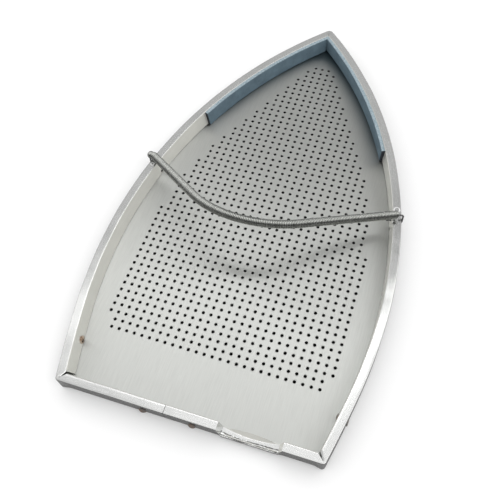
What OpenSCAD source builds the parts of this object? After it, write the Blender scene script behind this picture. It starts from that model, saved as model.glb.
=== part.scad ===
// Iron shoe: a clip-on sole for a steam iron. A perforated metal plate on a smooth sole sheet sits in
// a rim folded from one metal channel, and a coil spring across the middle holds the iron in it.
// Frame: +Y towards the nose, +Z up, origin under the middle of the length, on the sole's face.

/* [Outline] */
// Length of the rim, from the outer face of the heel to the nose tip
rim_length = 255.5; // [215:0.5:300]
// Width over the rim at its widest line
rim_width = 147.7; // [120:0.1:180]
// Distance of the widest line ahead of the heel
widest_ahead = 80; // [60:1:100]
// Distance ahead of the heel at which the side's two arcs meet
side_change_ahead = 36.4; // [28:0.1:50]
// Outer radius of the side's flatter arc, next to the heel
heel_side_r = 660; // [400:10:1200]
// Outer radius of the bend at each heel corner
corner_r = 1.6; // [1.2:0.1:4]
// Outer radius of the bend at the nose
nose_r = 2.5; // [1.5:0.1:5]

/* [Rim channel] */
// Height of the rim above the plate
rim_h = 8.6; // [6:0.1:14]
// Width of the rim's top
web_w = 4.3; // [3.6:0.1:7]
// Thickness of the rim's metal
rim_t = 0.8; // [0.6:0.1:1]
// Width of the lip that is folded in under the plate
lip_w = 2; // [1.5:0.1:3]
// Opening of the V notch at a heel corner, on the inner side
notch_gap = 2; // [0.5:0.1:4]
// Gap of the mitre at the nose and of the butt joint at the heel
seam_gap = 0.2; // [0.1:0.05:0.6]
// Place of the butt joint, to the right of the middle
joint_x = -10; // [-16:0.5:-6]

/* [Heel cut-out] */
// Place of the cut-out's middle, to the right of the middle
cut_x = 29.1; // [26:0.1:34]
// Width of the cut-out
cut_w = 29.5; // [20:0.5:34]
// Height of the rolled edge that is left in the cut-out, above the plate
cut_edge_h = 2.8; // [2:0.1:4]
// Radius of the rolled edge
roll_r = 1.1; // [0.8:0.1:1.3]
// Distance that the rolled edge stands out behind the heel
roll_out = 0.3; // [0.1:0.05:0.6]
// Distance from the heel's outer face to the pressed tongue
tongue_start = 2.7; // [2.6:0.1:3.6]
// Depth of the pressed tongue, from heel to nose
tongue_w = 2.8; // [2:0.1:4]
// Run of the slanted end walls of the cut-out
end_run = 1.8; // [1:0.1:3]

/* [Plate and sole] */
// Thickness of the perforated plate
plate_t = 0.8; // [0.5:0.1:1.5]
// Thickness of the sole sheet
sole_t = 1; // [0.9:0.1:2]
// Distance between the holes, both ways
hole_pitch = 4; // [3:0.1:8]
// Diameter of the holes
hole_d = 1.5; // [1:0.1:2.2]
// Distance of the first row of holes ahead of the heel
first_row_ahead = 33.8; // [20:0.1:50]
// Bare margin beside the holes at their widest row
side_margin = 15.4; // [12:0.1:25]
// Distance of the hole field's widest row ahead of the heel
hole_widest_ahead = 73.8; // [50:0.1:100]
// Distance from the nose tip back to the point that the outer holes aim at
nose_margin = 13.7; // [10:0.1:30]
// Turn of the rows of holes, and of the line between the spring's hooks, against the rim
row_turn = -0.6; // [-1.5:0.1:1.5]

/* [Nose strips] */
// Thickness of the soft strips inside the nose walls
strip_t = 1.9; // [0.8:0.1:2.5]
// Distance ahead of the heel at which the strips start
strip_start_ahead = 170; // [150:1:200]
// Height of the strips above the rim's top
strip_proud = 0.1; // [0:0.1:2]

/* [Rivets] */
// Diameter of the rivets
rivet_d = 2.4; // [1.6:0.1:3]
// Diameter of the rivets' heads
rivet_head_d = 3.9; // [3:0.1:5]
// Height of the rivets' heads
rivet_head_h = 1; // [0.6:0.1:1.5]
// Distance of the side rivets ahead of the heel
side_rivet_ahead = 21.8; // [15:0.1:30]
// Height of the side rivets above the plate
side_rivet_z = 2.3; // [2.2:0.1:6]
// Half the distance between the two heel rivets
heel_rivet_reach = 11.7; // [7:0.1:14]
// Height of the heel rivets above the plate
heel_rivet_z = 3.6; // [3:0.1:5]
// Height of the strap behind the butt joint
strap_h = 4.8; // [4.2:0.1:5.6]

/* [Spring] */
// Distance of the spring's hooks ahead of the heel
hinge_ahead = 129.8; // [105:0.1:150]
// Height of the line between the hooks above the rim's top
hinge_rise = 2.45; // [2.4:0.05:5]
// Slope of the spring's left end against the line between the hooks
left_slope = 40; // [25:1:50]
// Slope of the spring's right end against the same line
right_slope = 36; // [25:1:50]
// Radius of the spring's bow
bow_r = 45; // [25:1:60]
// Radius of the short bends at the spring's ends
end_bend_r = 4; // [3:0.5:6]
// Tilt of the spring's bow above level, towards the heel
spring_tilt = 26; // [0:1:80]
// Distance of the spring's left end beyond the rim's outer face
left_end_out = 0.35; // [0.1:0.05:1.2]
// Distance of the spring's right end beyond the rim's outer face
right_end_out = -0.4; // [-0.4:0.05:1.2]
// Mean radius of the spring's coils
coil_r = 1.72; // [1.6:0.01:2]
// Diameter of the spring's wire
wire_d = 0.86; // [0.84:0.01:0.95]
// Distance from one coil to the next
coil_pitch = 0.8; // [0.7:0.01:0.8]

/* [Hooks and punched holes] */
// Diameter of the hook wires
hook_d = 0.9; // [0.8:0.1:1.2]
// Height of the hook's lower arm above the plate
hook_arm_z = 4.6; // [3.5:0.1:6]
// Gap between the spring's end coil and the upright of the hook
hook_gap = 0.3; // [0.25:0.05:1]
// Diameter of the spare punched holes beside the spring
spare_hole_d = 1.8; // [1:0.1:2.2]
// Distance of the spare holes behind the spring's hooks
spare_hole_back = 3.4; // [3:0.1:6]

/* [Hidden] */
fit = 0.05;
y_heel = rivet_head_h / 2 - rim_length / 2;
y_widest = y_heel + widest_ahead;
y_change = y_heel + side_change_ahead;
y_nose_bend = y_heel + rim_length - nose_r;
z_lip = sole_t - rim_t;
z_plate = sole_t + plate_t;
z_top = z_plate + rim_h;

// The long arc of the side runs through the widest point and into the bend at the nose.
nose_run = y_nose_bend - y_widest;
side_r = (pow(rim_width / 2, 2) + pow(nose_run, 2) - pow(nose_r, 2)) / (rim_width - 2 * nose_r);
side_cx = rim_width / 2 - side_r;
change_a = asin((y_change - y_widest) / side_r);
nose_a = atan2(nose_run, -side_cx);

// The flatter arc next to the heel leaves the long arc without a kink.
heel_cx = side_cx + (side_r - heel_side_r) * cos(change_a);
heel_cy = y_widest + (side_r - heel_side_r) * sin(change_a);
corner_y = y_heel + corner_r;
corner_a = asin((corner_y - heel_cy) / (heel_side_r - corner_r));
corner_x = heel_cx + (heel_side_r - corner_r) * cos(corner_a);

// Direction from the heel corner into the tray, half way between heel and side.
notch_a = (180 + 90 + corner_a) / 2;
notch_half_a = atan(notch_gap / 2 / (web_w / sin(notch_a - 90 - corner_a)));

hinge_y = y_heel + hinge_ahead;
hinge_z = z_top + hinge_rise;
hinge_out = side_x(hinge_y, side_r, side_cx, y_widest);
left_ring_x = hinge_out + left_end_out;
right_ring_x = hinge_out + right_end_out;
reach = bow_r + end_bend_r;
// Lengths of the spring's straight legs, so that both ends meet the hooks.
legs_x = left_ring_x + right_ring_x - reach * (sin(left_slope) + sin(right_slope));
legs_z = reach * (cos(left_slope) - cos(right_slope));
left_leg = (legs_x * sin(right_slope) + legs_z * cos(right_slope)) / sin(left_slope + right_slope);
right_leg = (legs_x * sin(left_slope) - legs_z * cos(left_slope)) / sin(left_slope + right_slope);

side_rivet_a = asin((y_heel + side_rivet_ahead - heel_cy) / heel_side_r);
heel_rivet_x = joint_x + 1.3;
strap_len = 2 * heel_rivet_reach + rivet_head_d + 4;
big = 400;
$fn = 48;

// Outer half width of an arc of the side at a given y.
function side_x(y, r, cx, cy) = cx + sqrt(r * r - pow(y - cy, 2));
function dir(a, r) = [r * cos(a), r * sin(a)];

// Outline: the same curve, moved inwards, bounds the rim's walls, the plate and the sole sheet

// Everything left of the right-hand side's two arcs.
module side_half(inset) {
    translate([side_cx, y_widest]) intersection() {
        circle(side_r - inset, $fn = 720);
        polygon([[0, 0], dir(change_a - 1, 2 * big), dir(90, 2 * big), dir(150, 2 * big)]);
    }
    translate([side_cx, y_widest]) intersection() {
        translate([heel_cx - side_cx, heel_cy - y_widest]) circle(heel_side_r - inset, $fn = 1440);
        polygon([[0, 0], dir(change_a, 2 * big), dir(-60, 2 * big), dir(-120, 2 * big)]);
    }
}

// Rounds a corner of the outline: turn is the angle through which the edge turns there.
module round_bend(centre, out_a, turn, r) {
    if (r > 0) {
        difference() {
            children();
            translate(centre) rotate(out_a) translate([r * cos(turn / 2), -2 * r]) square(4 * r);
        }
        translate(centre) circle(r);
    } else {
        children();
    }
}

module outline(inset) {
    turn = 90 + corner_a;
    round_bend([0, y_nose_bend], 90, 180 - 2 * nose_a, nose_r - inset)
        round_bend([corner_x, corner_y], notch_a + 180, turn, corner_r - inset)
            round_bend([-corner_x, corner_y], -notch_a, turn, corner_r - inset)
                intersection() {
                    side_half(inset);
                    mirror([1, 0]) side_half(inset);
                    translate([-big / 2, y_heel + inset]) square(big);
                }
}

// Band that follows the outline, from one inset to another.
module band(from, to, z, h) {
    translate([0, 0, z]) linear_extrude(h) difference() {
        outline(from);
        outline(to);
    }
}

// Rim: one strip of metal folded to a channel, notched, bent round and butted at the heel

module channel() {
    band(0, rim_t, z_lip, z_top - z_lip);
    difference() {
        union() {
            band(rim_t / 2, lip_w, z_lip, rim_t);
            band(rim_t / 2, web_w, z_top - rim_t, rim_t);
            band(web_w - rim_t, web_w, z_plate, rim_h);
        }
        for (side = [0, 1]) mirror([side, 0, 0]) corner_notch();
        translate([-seam_gap / 2, y_nose_bend - 20, -1]) cube([seam_gap, 20, z_top + 2]);
    }
}

// Wedge from a heel corner's bend into the tray.
module corner_notch() {
    translate([corner_x, corner_y, -1]) linear_extrude(z_top + 2)
        polygon([[0, 0], dir(notch_a - notch_half_a, 30), dir(notch_a + notch_half_a, 30)]);
}

module heel_cut_out() {
    translate([cut_x - cut_w / 2, y_heel - 1, z_plate + cut_edge_h - roll_r])
        cube([cut_w, web_w + 2, rim_h]);
    translate([cut_x - cut_w / 2, y_heel + rim_t, z_plate]) cube([cut_w, web_w, rim_h]);
}

// What the press leaves in the cut-out: a rolled edge, a shelf, a leaning tongue and two end walls.
module cut_out_edge() {
    edge_z = z_plate + cut_edge_h;
    chord = cut_w - 2 * end_run;
    arc_r = (pow(chord / 2, 2) + pow(tongue_w / 2, 2)) / tongue_w;
    translate([cut_x - cut_w / 2, y_heel + roll_r - roll_out, edge_z - roll_r])
        rotate([0, 90, 0]) cylinder(r = roll_r, h = cut_w);
    difference() {
        translate([cut_x - cut_w / 2, y_heel + roll_r, edge_z - rim_t])
            cube([cut_w, tongue_start + tongue_w / 2 - roll_r, rim_t]);
        translate([cut_x, y_heel + tongue_start + arc_r, edge_z - 2 * rim_t])
            cylinder(r = arc_r, h = 3 * rim_t, $fn = 360);
    }
    intersection() {
        translate([cut_x - chord / 2, y_heel + tongue_start - rim_t, edge_z])
            rotate([-atan2(cut_edge_h, tongue_w), 0, 0])
                translate([0, 0, -rim_t]) cube([chord, 2 * tongue_w, rim_t]);
        translate([cut_x, y_heel + tongue_start + tongue_w - arc_r, z_plate])
            cylinder(r = arc_r, h = cut_edge_h, $fn = 360);
    }
    for (side = [0, 1]) translate([cut_x, y_heel + web_w, 0]) mirror([side, 0, 0])
        rotate([90, 0, 0]) linear_extrude(web_w) polygon([
            [-cut_w / 2 - rim_t / 2, z_top],
            [-cut_w / 2 + rim_t / 2, z_top],
            [-cut_w / 2 + end_run + rim_t / 2, edge_z - rim_t / 2],
            [-cut_w / 2 + end_run - rim_t / 2, edge_z - rim_t / 2],
            [-cut_w / 2 - rim_t / 2, z_top - rim_t]]);
}

module rim_frame() color([0.80, 0.81, 0.81]) {
    difference() {
        channel();
        heel_cut_out();
        translate([joint_x - seam_gap / 2, y_heel - 1, -1]) cube([seam_gap, web_w + 2, z_top + 2]);
        for (side = [0, 1]) mirror([side, 0, 0]) {
            at_side_rivet() rotate([0, -90, 0])
                translate([0, 0, -1]) cylinder(d = rivet_d + 2 * fit, h = web_w + 2);
            spare_holes();
        }
        on_hook_line() for (side = [0, 1]) mirror([side, 0, 0])
            translate([hinge_out - web_w - 2, 0, z_plate + hook_arm_z])
                rotate([0, 90, 0]) cylinder(d = hook_d + 2 * fit, h = web_w + 4);
        for (x = heel_rivet_xs()) translate([x, y_heel - 1, z_plate + heel_rivet_z])
            rotate([-90, 0, 0]) cylinder(d = rivet_d + 2 * fit, h = rim_t + 2);
    }
    cut_out_edge();
}

// One spare hole in the top of the rim and one low in its inner wall.
module spare_holes() {
    spare_y = hinge_y - spare_hole_back;
    wall_x = side_x(spare_y, side_r - web_w, side_cx, y_widest);
    translate([wall_x + web_w / 2 - rim_t / 2, spare_y, z_top - rim_t - 0.5])
        cylinder(d = spare_hole_d, h = rim_t + 1);
    translate([wall_x - 1, spare_y, z_plate + spare_hole_d])
        rotate([0, 90, 0]) cylinder(d = spare_hole_d, h = rim_t + 1.6);
}

// Plate and sole: flat sheets with one field of holes

// Half the number of holes in a row at distance ahead of the heel, the middle one left out.
// The field's edge is a parabola as round as the side, cut by a straight slope at the nose.
function half_count(ahead) =
    let (sag = pow(ahead - hole_widest_ahead, 2) / (2 * side_r),
         by_side = rim_width / 2 - side_margin - sag,
         by_nose = (rim_length - nose_margin - ahead) / 2)
    floor(min(by_side, by_nose) / hole_pitch + 0.001);

module hole_field() {
    rows = floor((rim_length - nose_margin - first_row_ahead) / hole_pitch + 0.001) - 2;
    translate([0, y_heel + first_row_ahead]) rotate(row_turn) for (row = [0 : rows - 1]) {
        n = half_count(first_row_ahead + row * hole_pitch);
        for (i = [-n : n]) translate([i * hole_pitch, row * hole_pitch]) circle(d = hole_d, $fn = 16);
    }
}

module perforated_sheet(inset, t) {
    linear_extrude(t) difference() {
        outline(inset);
        hole_field();
    }
}

module sole_plate() color([0.78, 0.79, 0.78]) {
    translate([0, 0, sole_t]) perforated_sheet(rim_t + fit, plate_t);
}

module sole_sheet() color([0.30, 0.29, 0.27]) {
    perforated_sheet(lip_w + 2 * fit, sole_t);
}

// Soft strip inside the right-hand nose wall, cut at the middle to meet its fellow.
module nose_strip() {
    strip_r = side_r - web_w - fit;
    start_a = asin((y_heel + strip_start_ahead - y_widest) / strip_r);
    difference() {
        translate([side_cx, y_widest, 0]) rotate([0, 0, start_a])
            rotate_extrude(angle = nose_a + 2 - start_a, $fn = 720)
                translate([strip_r - strip_t, z_plate]) square([strip_t, rim_h + strip_proud]);
        translate([fit / 2 - big, y_nose_bend - big / 2, 0]) cube(big);
    }
}

module nose_strip_left() color([0.42, 0.49, 0.57]) mirror([1, 0, 0]) nose_strip();
module nose_strip_right() color([0.42, 0.49, 0.57]) nose_strip();

// Fasteners

// Puts a part on the right-hand side wall: +X outwards, origin on the outer face.
module at_side_rivet() {
    translate([heel_cx, heel_cy, z_plate + side_rivet_z])
        rotate([0, 0, side_rivet_a]) translate([heel_side_r, 0, 0]) children();
}

// Rivet with a domed head at z = 0 and a domed tail at z = -grip.
module rivet(grip) {
    translate([0, 0, -grip]) cylinder(d = rivet_d, h = grip);
    dome(rivet_head_d, rivet_head_h);
    translate([0, 0, -grip]) mirror([0, 0, 1]) dome(rivet_head_d, 0.6 * rivet_head_h);
}

module dome(d, h) {
    dome_r = (d * d / 4 + h * h) / (2 * h);
    intersection() {
        translate([0, 0, h - dome_r]) sphere(dome_r);
        cylinder(d = 2 * d, h = h + 1);
    }
}

module side_rivet() at_side_rivet() rotate([0, 90, 0]) rivet(web_w);
module side_rivet_left() color([0.42, 0.24, 0.13]) mirror([1, 0, 0]) side_rivet();
module side_rivet_right() color([0.42, 0.24, 0.13]) side_rivet();

function heel_rivet_xs() = [heel_rivet_x - heel_rivet_reach, heel_rivet_x + heel_rivet_reach];

module heel_rivet(x) {
    translate([x, y_heel, z_plate + heel_rivet_z]) rotate([90, 0, 0]) rivet(2 * rim_t);
}

module heel_rivet_left() color([0.36, 0.20, 0.11]) heel_rivet(heel_rivet_xs()[0]);
module heel_rivet_right() color([0.36, 0.20, 0.11]) heel_rivet(heel_rivet_xs()[1]);

// Strap behind the butt joint, inside the channel, held by the two heel rivets.
module joint_strap() color([0.70, 0.71, 0.71]) {
    difference() {
        translate([heel_rivet_x - strap_len / 2, y_heel + rim_t, z_plate + heel_rivet_z - strap_h / 2])
            cube([strap_len, rim_t, strap_h]);
        for (x = heel_rivet_xs()) translate([x, y_heel, z_plate + heel_rivet_z])
            rotate([-90, 0, 0]) cylinder(d = rivet_d + 2 * fit, h = 4 * rim_t);
    }
}

// Hooks and spring

// Puts a part on the line between the hooks, at the height of the sole.
module on_hook_line() {
    translate([0, hinge_y, 0]) rotate([0, 0, row_turn]) children();
}

// Hook on the right of the line: through both rim walls, up outside, and in through the coil at ring_x.
module hook(ring_x) {
    bend = hook_d;
    upright_x = ring_x + wire_d / 2 + hook_gap + hook_d / 2;
    arm_z = z_plate + hook_arm_z;
    inner_x = hinge_out - web_w - 1.5 * bend;
    tip_x = ring_x - wire_d;
    translate([inner_x, 0, arm_z]) rotate([0, 90, 0])
        cylinder(d = hook_d, h = upright_x - bend - inner_x);
    translate([upright_x, 0, arm_z + bend]) cylinder(d = hook_d, h = hinge_z - arm_z - 2 * bend);
    translate([tip_x, 0, hinge_z]) rotate([0, 90, 0])
        cylinder(d = hook_d, h = upright_x - bend - tip_x);
    translate([upright_x - bend, 0, arm_z + bend]) rotate([90, 0, 0])
        rotate([0, 0, -90]) rotate_extrude(angle = 90) translate([bend, 0]) circle(d = hook_d);
    translate([upright_x - bend, 0, hinge_z - bend]) rotate([90, 0, 0])
        rotate_extrude(angle = 90) translate([bend, 0]) circle(d = hook_d);
    translate([inner_x, 0, arm_z - bend]) rotate([90, 0, 0])
        rotate([0, 0, 90]) rotate_extrude(angle = 90) translate([bend, 0]) circle(d = hook_d);
}

module spring_hook_left() color([0.62, 0.63, 0.62]) on_hook_line() mirror([1, 0, 0]) hook(left_ring_x);
module spring_hook_right() color([0.62, 0.63, 0.62]) on_hook_line() hook(right_ring_x);

// One coil, in the plane across its own axis.
module coil() {
    rotate_extrude($fn = 32) translate([coil_r, 0]) circle(d = wire_d, $fn = 18);
}

// A straight run of coils along +Z, turned as one profile.
module coil_run(len) {
    n = round(len / coil_pitch);
    rotate_extrude($fn = 32)
        for (i = [0 : n]) translate([coil_r, i * len / n]) circle(d = wire_d, $fn = 18);
}

// Coils along an arc that starts along +Z and turns towards +X, or towards -X if turn is negative.
module coil_bend(r, turn, skip_first, skip_last) {
    n = round(r * abs(turn) * PI / 180 / coil_pitch);
    for (i = [skip_first : n - skip_last]) along_bend(r, i * turn / n) coil();
}

module along_bend(r, turn) {
    translate([sign(turn) * r * (1 - cos(turn)), 0, r * abs(sin(turn))])
        rotate([0, turn, 0]) children();
}

// The whole spring, from its left end at the origin, along +Z and bowed towards +X.
module spring_run() {
    coil_bend(end_bend_r, left_slope, 0, 1);
    along_bend(end_bend_r, left_slope) {
        coil_run(left_leg);
        translate([0, 0, left_leg]) {
            coil_bend(bow_r, -left_slope - right_slope, 1, 1);
            along_bend(bow_r, -left_slope - right_slope) {
                coil_run(right_leg);
                translate([0, 0, right_leg]) coil_bend(end_bend_r, right_slope, 1, 0);
            }
        }
    }
}

module retaining_spring() color([0.66, 0.67, 0.66]) {
    on_hook_line() translate([-left_ring_x, 0, hinge_z])
        rotate([-90 - spring_tilt, 0, 0]) rotate([0, 90, 0]) spring_run();
}

rim_frame();
sole_plate();
sole_sheet();
nose_strip_left();
nose_strip_right();
joint_strap();
heel_rivet_left();
heel_rivet_right();
side_rivet_left();
side_rivet_right();
spring_hook_left();
spring_hook_right();
retaining_spring();
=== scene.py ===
"""Looks of an iron shoe: folded aluminium rim, perforated plate, soft nose strips, rusty rivets and a
closed coil spring on two hooks. Lengths are in millimetres until a mesh is made, then in metres."""

import math

import bmesh
import bpy
import numpy as np
from mathutils import Matrix, Vector, noise

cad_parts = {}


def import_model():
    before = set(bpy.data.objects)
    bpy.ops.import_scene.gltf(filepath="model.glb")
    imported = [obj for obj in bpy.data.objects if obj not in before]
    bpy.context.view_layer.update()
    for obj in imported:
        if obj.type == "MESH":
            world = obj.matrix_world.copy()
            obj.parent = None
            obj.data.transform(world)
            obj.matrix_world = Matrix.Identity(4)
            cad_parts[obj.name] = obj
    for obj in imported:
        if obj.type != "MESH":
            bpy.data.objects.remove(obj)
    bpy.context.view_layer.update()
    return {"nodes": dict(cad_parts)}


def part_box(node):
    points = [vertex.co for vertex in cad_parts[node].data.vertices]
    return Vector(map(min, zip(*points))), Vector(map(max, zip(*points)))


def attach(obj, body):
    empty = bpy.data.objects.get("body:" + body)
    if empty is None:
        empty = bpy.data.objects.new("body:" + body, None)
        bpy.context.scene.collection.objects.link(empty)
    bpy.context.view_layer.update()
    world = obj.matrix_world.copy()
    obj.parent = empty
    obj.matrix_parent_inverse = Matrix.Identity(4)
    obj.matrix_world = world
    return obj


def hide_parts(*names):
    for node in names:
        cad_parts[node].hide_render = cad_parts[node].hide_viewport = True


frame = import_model()

MM = 0.001

# Sizes of the rim's metal and bends, as in the solid model.
RIM_T = 0.8
WEB_W = 4.3
LIP_W = 2.0
CORNER_R = 1.6
NOSE_R = 2.5
PLATE_FIT = 0.05
HEEL_SIDE_R = 660.0
WIDEST_AHEAD = 80.0
CHANGE_AHEAD = 36.4
NOTCH_GAP = 2.0
SEAM_GAP = 0.2
FOLD_R = 0.4
INNER_FOLD_R = 0.15
FOOT_R = 1.2
HEEL_TUCK = 0.7
WALL_LEAN_LEFT = 1.5
WALL_LEAN_RIGHT = 0.7
WALL_LIFT = 0.3

# Bends of hand-folded metal, and how finely its outline and length are divided.
WOBBLE = 0.10
HEEL_WOBBLE = 0.12
END_FADE = 12.0
FOOT_FADE = 3.0
CHAMFER = 1.0
CHAMFER_SLOPE = 0.35
PROFILE_STEP = 0.8
FINE_STEP = 0.35
SIDE_STATIONS = 240
HEEL_STEP = 0.9
CUT_STATIONS = 190

# The butt joint and the pressed cut-out in the heel.
JOINT_X = -10.0
JOINT_DENT = 0.35
JOINT_DENT_RUN = 9.0
CUT_X = 29.1
CUT_W = 29.5
CUT_EDGE_H = 2.8
CUT_RUN = 1.9
CRUMPLE = 0.17
CUT_BULGE = -0.35
TONGUE_START = 2.7
TONGUE_W = 2.8

# The side rivets' hammered heads. A head is a ball cut off at HEAD_FOOT, with one pit painted near-black as
# shade.
HEAD_FOOT = -0.3
PIT_AT = 0.30
PIT_SIZE = (0.28, 0.5)
PIT_DEPTH = 0.8
PIT_EDGE = 0.45
LEFT_HEAD_D = 4.1
LEFT_HEAD_H = 0.85
RIGHT_HEAD_D = 3.6
RIGHT_HEAD_H = 0.5
SIDE_RIVET_AHEAD = 21.8
SIDE_RIVET_Z = 2.3

# The soft strips.
STRIP_T = 1.9
STRIP_EDGE_R = 0.35
STRIP_FOOT_R = 0.6
STRIP_GAP = 0.05
STRIP_LUMP = 0.09
STRIP_WAVE = 0.25
STRIP_START_AHEAD = 170.0
STRIP_PROUD = 0.1
STRIP_LEAN_LEFT = 1.3
STRIP_LEAN_RIGHT = 0.35

# The line of the two hooks, and the spare holes behind it. A burr is x, y, ring radius and thickness.
HINGE_AHEAD = 129.8
HINGE_RISE = 2.45
ROW_TURN = -0.6
SPARE_BACK_LEFT = 1.8
SPARE_BACK_RIGHT = 4.4
SPARE_D = 1.8
LOW_SPARE_AHEAD = 0.4
BURRS = {"hole_burr_right": (65.8, 6.1, 1.4, 0.38), "hole_burr_left": (-67.2, -0.6, 0.9, 0.25)}

# The spring.
COIL_R = 1.78
WIRE_D = 0.80
COIL_PITCH = 0.80
SPINE_STEP = 0.05
TURN_STATIONS = 20
WIRE_SIDES = 7
LEFT_END_OUT = 0.35
RIGHT_END_OUT = -0.4
LEFT_SLOPE = 40.0
RIGHT_SLOPE = 36.0
BOW_R = 45.0
END_BEND_R = 4.0
SPRING_TILT = 26.0
OPEN_END = 2.0
DOME_DEPTH = 0.85
CAP_R = 2.05

# The plate's holes. The ring of painted shade round them widens from the heel to the nose.
HOLE_PITCH = 4.0
HOLE_D = 1.5
FIRST_ROW_AHEAD = 33.8
SIDE_MARGIN = 15.4
HOLE_WIDEST_AHEAD = 73.8
NOSE_MARGIN = 13.7
LIP_SIDES = 16
LIP_H = 0.09
LIP_UNEVEN = 0.3
DARK_RINGS = 2
HOLE_SHADE_RING = (0.05, 0.12)
HOLE_SHADE_RING_Y = (-100, 80)

# The stage: a white floor with painted near-black shade under the part, and a room that only the metal sees.
# The room's
# values are parts of a mirror direction: x is to the right, across is y less PANEL_SLANT times x, z is up.
FLOOR_WHITE = 0.9
FLOOR_IN_METAL = 0.25
FLOOR_SIZE = 4.0
UNDER_INSET = 8.0
UNDER_Y = 100.0
SOFT_LIGHT = 1.12
CEILING_GLOW = (0.67, 0.565)
PANEL_SLANT = 0.26
PANEL_EDGE = (0.47, 0.43)
PANEL_END = (-0.33, -0.26)
PANEL_GLOW = (0.06, 0.44)
FAR_EDGE = 0.78
BAND_EDGE = (0.02, 0.06)
TUBE_AT = 0.402
TUBE_MIDDLE = -0.11
TUBE_END = (0.04, 0.17)
TUBE_GLOW = (3.4, 1.1)
GAP_AT = 0.535
GAP_END = (-0.18, 0.02)
GAP_GLOW = -0.38
SIDE_EDGE = (0.20, 0.50)
SIDE_GLOW = 0.50
BEHIND_SLANT = 0.5
BEHIND_EDGE = (-0.15, -0.35)
BEHIND_GLOW = 0.08
LOW_EDGE = (0.20, 0.50)
LOW_GLOW = 0.22

# The camera, found from the grid of holes in the photo: its place, lens and right, up and back axes.
CAMERA_AT = (61.635, -186.066, 277.377)
CAMERA_LENS = 45.01
CAMERA_SHIFT = (-0.001, 0.001)
CAMERA_AXES = ((0.9505, 0.3076, -0.0441), (-0.2429, 0.8240, 0.5118), (0.1937, -0.4758, 0.8580))


def box_mm(node):
    lo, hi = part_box(node)
    return np.array(lo) / MM, np.array(hi) / MM


# The frame gives the overall sizes.
RIM_LO, RIM_HI = box_mm("rim_frame")
PLATE_LO, PLATE_HI = box_mm("sole_plate")
Y_HEEL = PLATE_LO[1] - RIM_T - PLATE_FIT
Y_NOSE = RIM_HI[1]
WIDTH = RIM_HI[0] - RIM_LO[0]
Z_LIP = RIM_LO[2]
Z_PLATE = PLATE_HI[2]
Z_TOP = RIM_HI[2]
RIM_LENGTH = Y_NOSE - Y_HEEL


class Side:
    """The outer curve of the rim's right side: a flat arc near the heel, then a rounder one."""

    def __init__(self):
        y_widest = Y_HEEL + WIDEST_AHEAD
        run = Y_NOSE - NOSE_R - y_widest
        self.r = ((WIDTH / 2) ** 2 + run**2 - NOSE_R**2) / (WIDTH - 2 * NOSE_R)
        self.c = np.array([WIDTH / 2 - self.r, y_widest])
        self.change_a = math.asin((CHANGE_AHEAD - WIDEST_AHEAD) / self.r)
        self.nose_a = math.atan2(run, -self.c[0])
        turn = np.array([math.cos(self.change_a), math.sin(self.change_a)])
        self.heel_c = self.c + (self.r - HEEL_SIDE_R) * turn
        corner_y = Y_HEEL + CORNER_R
        self.corner_a = math.asin((corner_y - self.heel_c[1]) / (HEEL_SIDE_R - CORNER_R))
        corner_x = self.heel_c[0] + (HEEL_SIDE_R - CORNER_R) * math.cos(self.corner_a)
        self.corner = np.array([corner_x, corner_y])
        self.nose = np.array([0.0, Y_NOSE - NOSE_R])
        self.flat_len = HEEL_SIDE_R * (self.change_a - self.corner_a)
        self.length = self.flat_len + self.r * (self.nose_a - self.change_a)
        self.notch_a = (1.5 * math.pi + self.corner_a) / 2
        opening = WEB_W / math.sin(self.notch_a - math.pi / 2 - self.corner_a)
        self.notch_half = math.atan(NOTCH_GAP / 2 / opening)

    def point(self, s, u):
        """Point at length s along the outer face and inset u from it, and its inward direction."""
        s, u = np.broadcast_arrays(np.asarray(s, float), np.asarray(u, float))
        flat = s < self.flat_len
        angle = np.where(flat, self.corner_a + s / HEEL_SIDE_R, self.change_a + (s - self.flat_len) / self.r)
        radius = np.where(flat, HEEL_SIDE_R, self.r) - u
        cx = np.where(flat, self.heel_c[0], self.c[0])
        cy = np.where(flat, self.heel_c[1], self.c[1])
        return cx + radius * np.cos(angle), cy + radius * np.sin(angle)

    def start(self, u):
        """Where the metal at inset u starts: behind the corner bend, or at the V notch's edge."""
        if u <= CORNER_R:
            return 0.0
        edge = self.notch_a - self.notch_half

        def beyond(s):
            x, y = self.point(s, u)
            return (x - self.corner[0]) * math.sin(edge) - (y - self.corner[1]) * math.cos(edge)

        return bisect(beyond, -2.0, 15.0)

    def end(self, u, gap=SEAM_GAP / 2, bend_r=NOSE_R):
        """Where the metal at inset u ends: at the nose bend, or at the mitre."""
        if u <= bend_r:
            return self.length
        return bisect(lambda s: self.point(s, u)[0] - gap, self.length - 20, self.length + 20)

    def at_y(self, y, u=0.0):
        return bisect(lambda s: self.point(s, u)[1] - y, 0.0, self.length)


def bisect(f, a, b):
    """Root of f between a and b."""
    fa = f(a)
    for _ in range(60):
        m = (a + b) / 2
        if (f(m) > 0) == (fa > 0):
            a = m
        else:
            b = m
    return (a + b) / 2


SIDE = Side()


# Meshes

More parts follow.
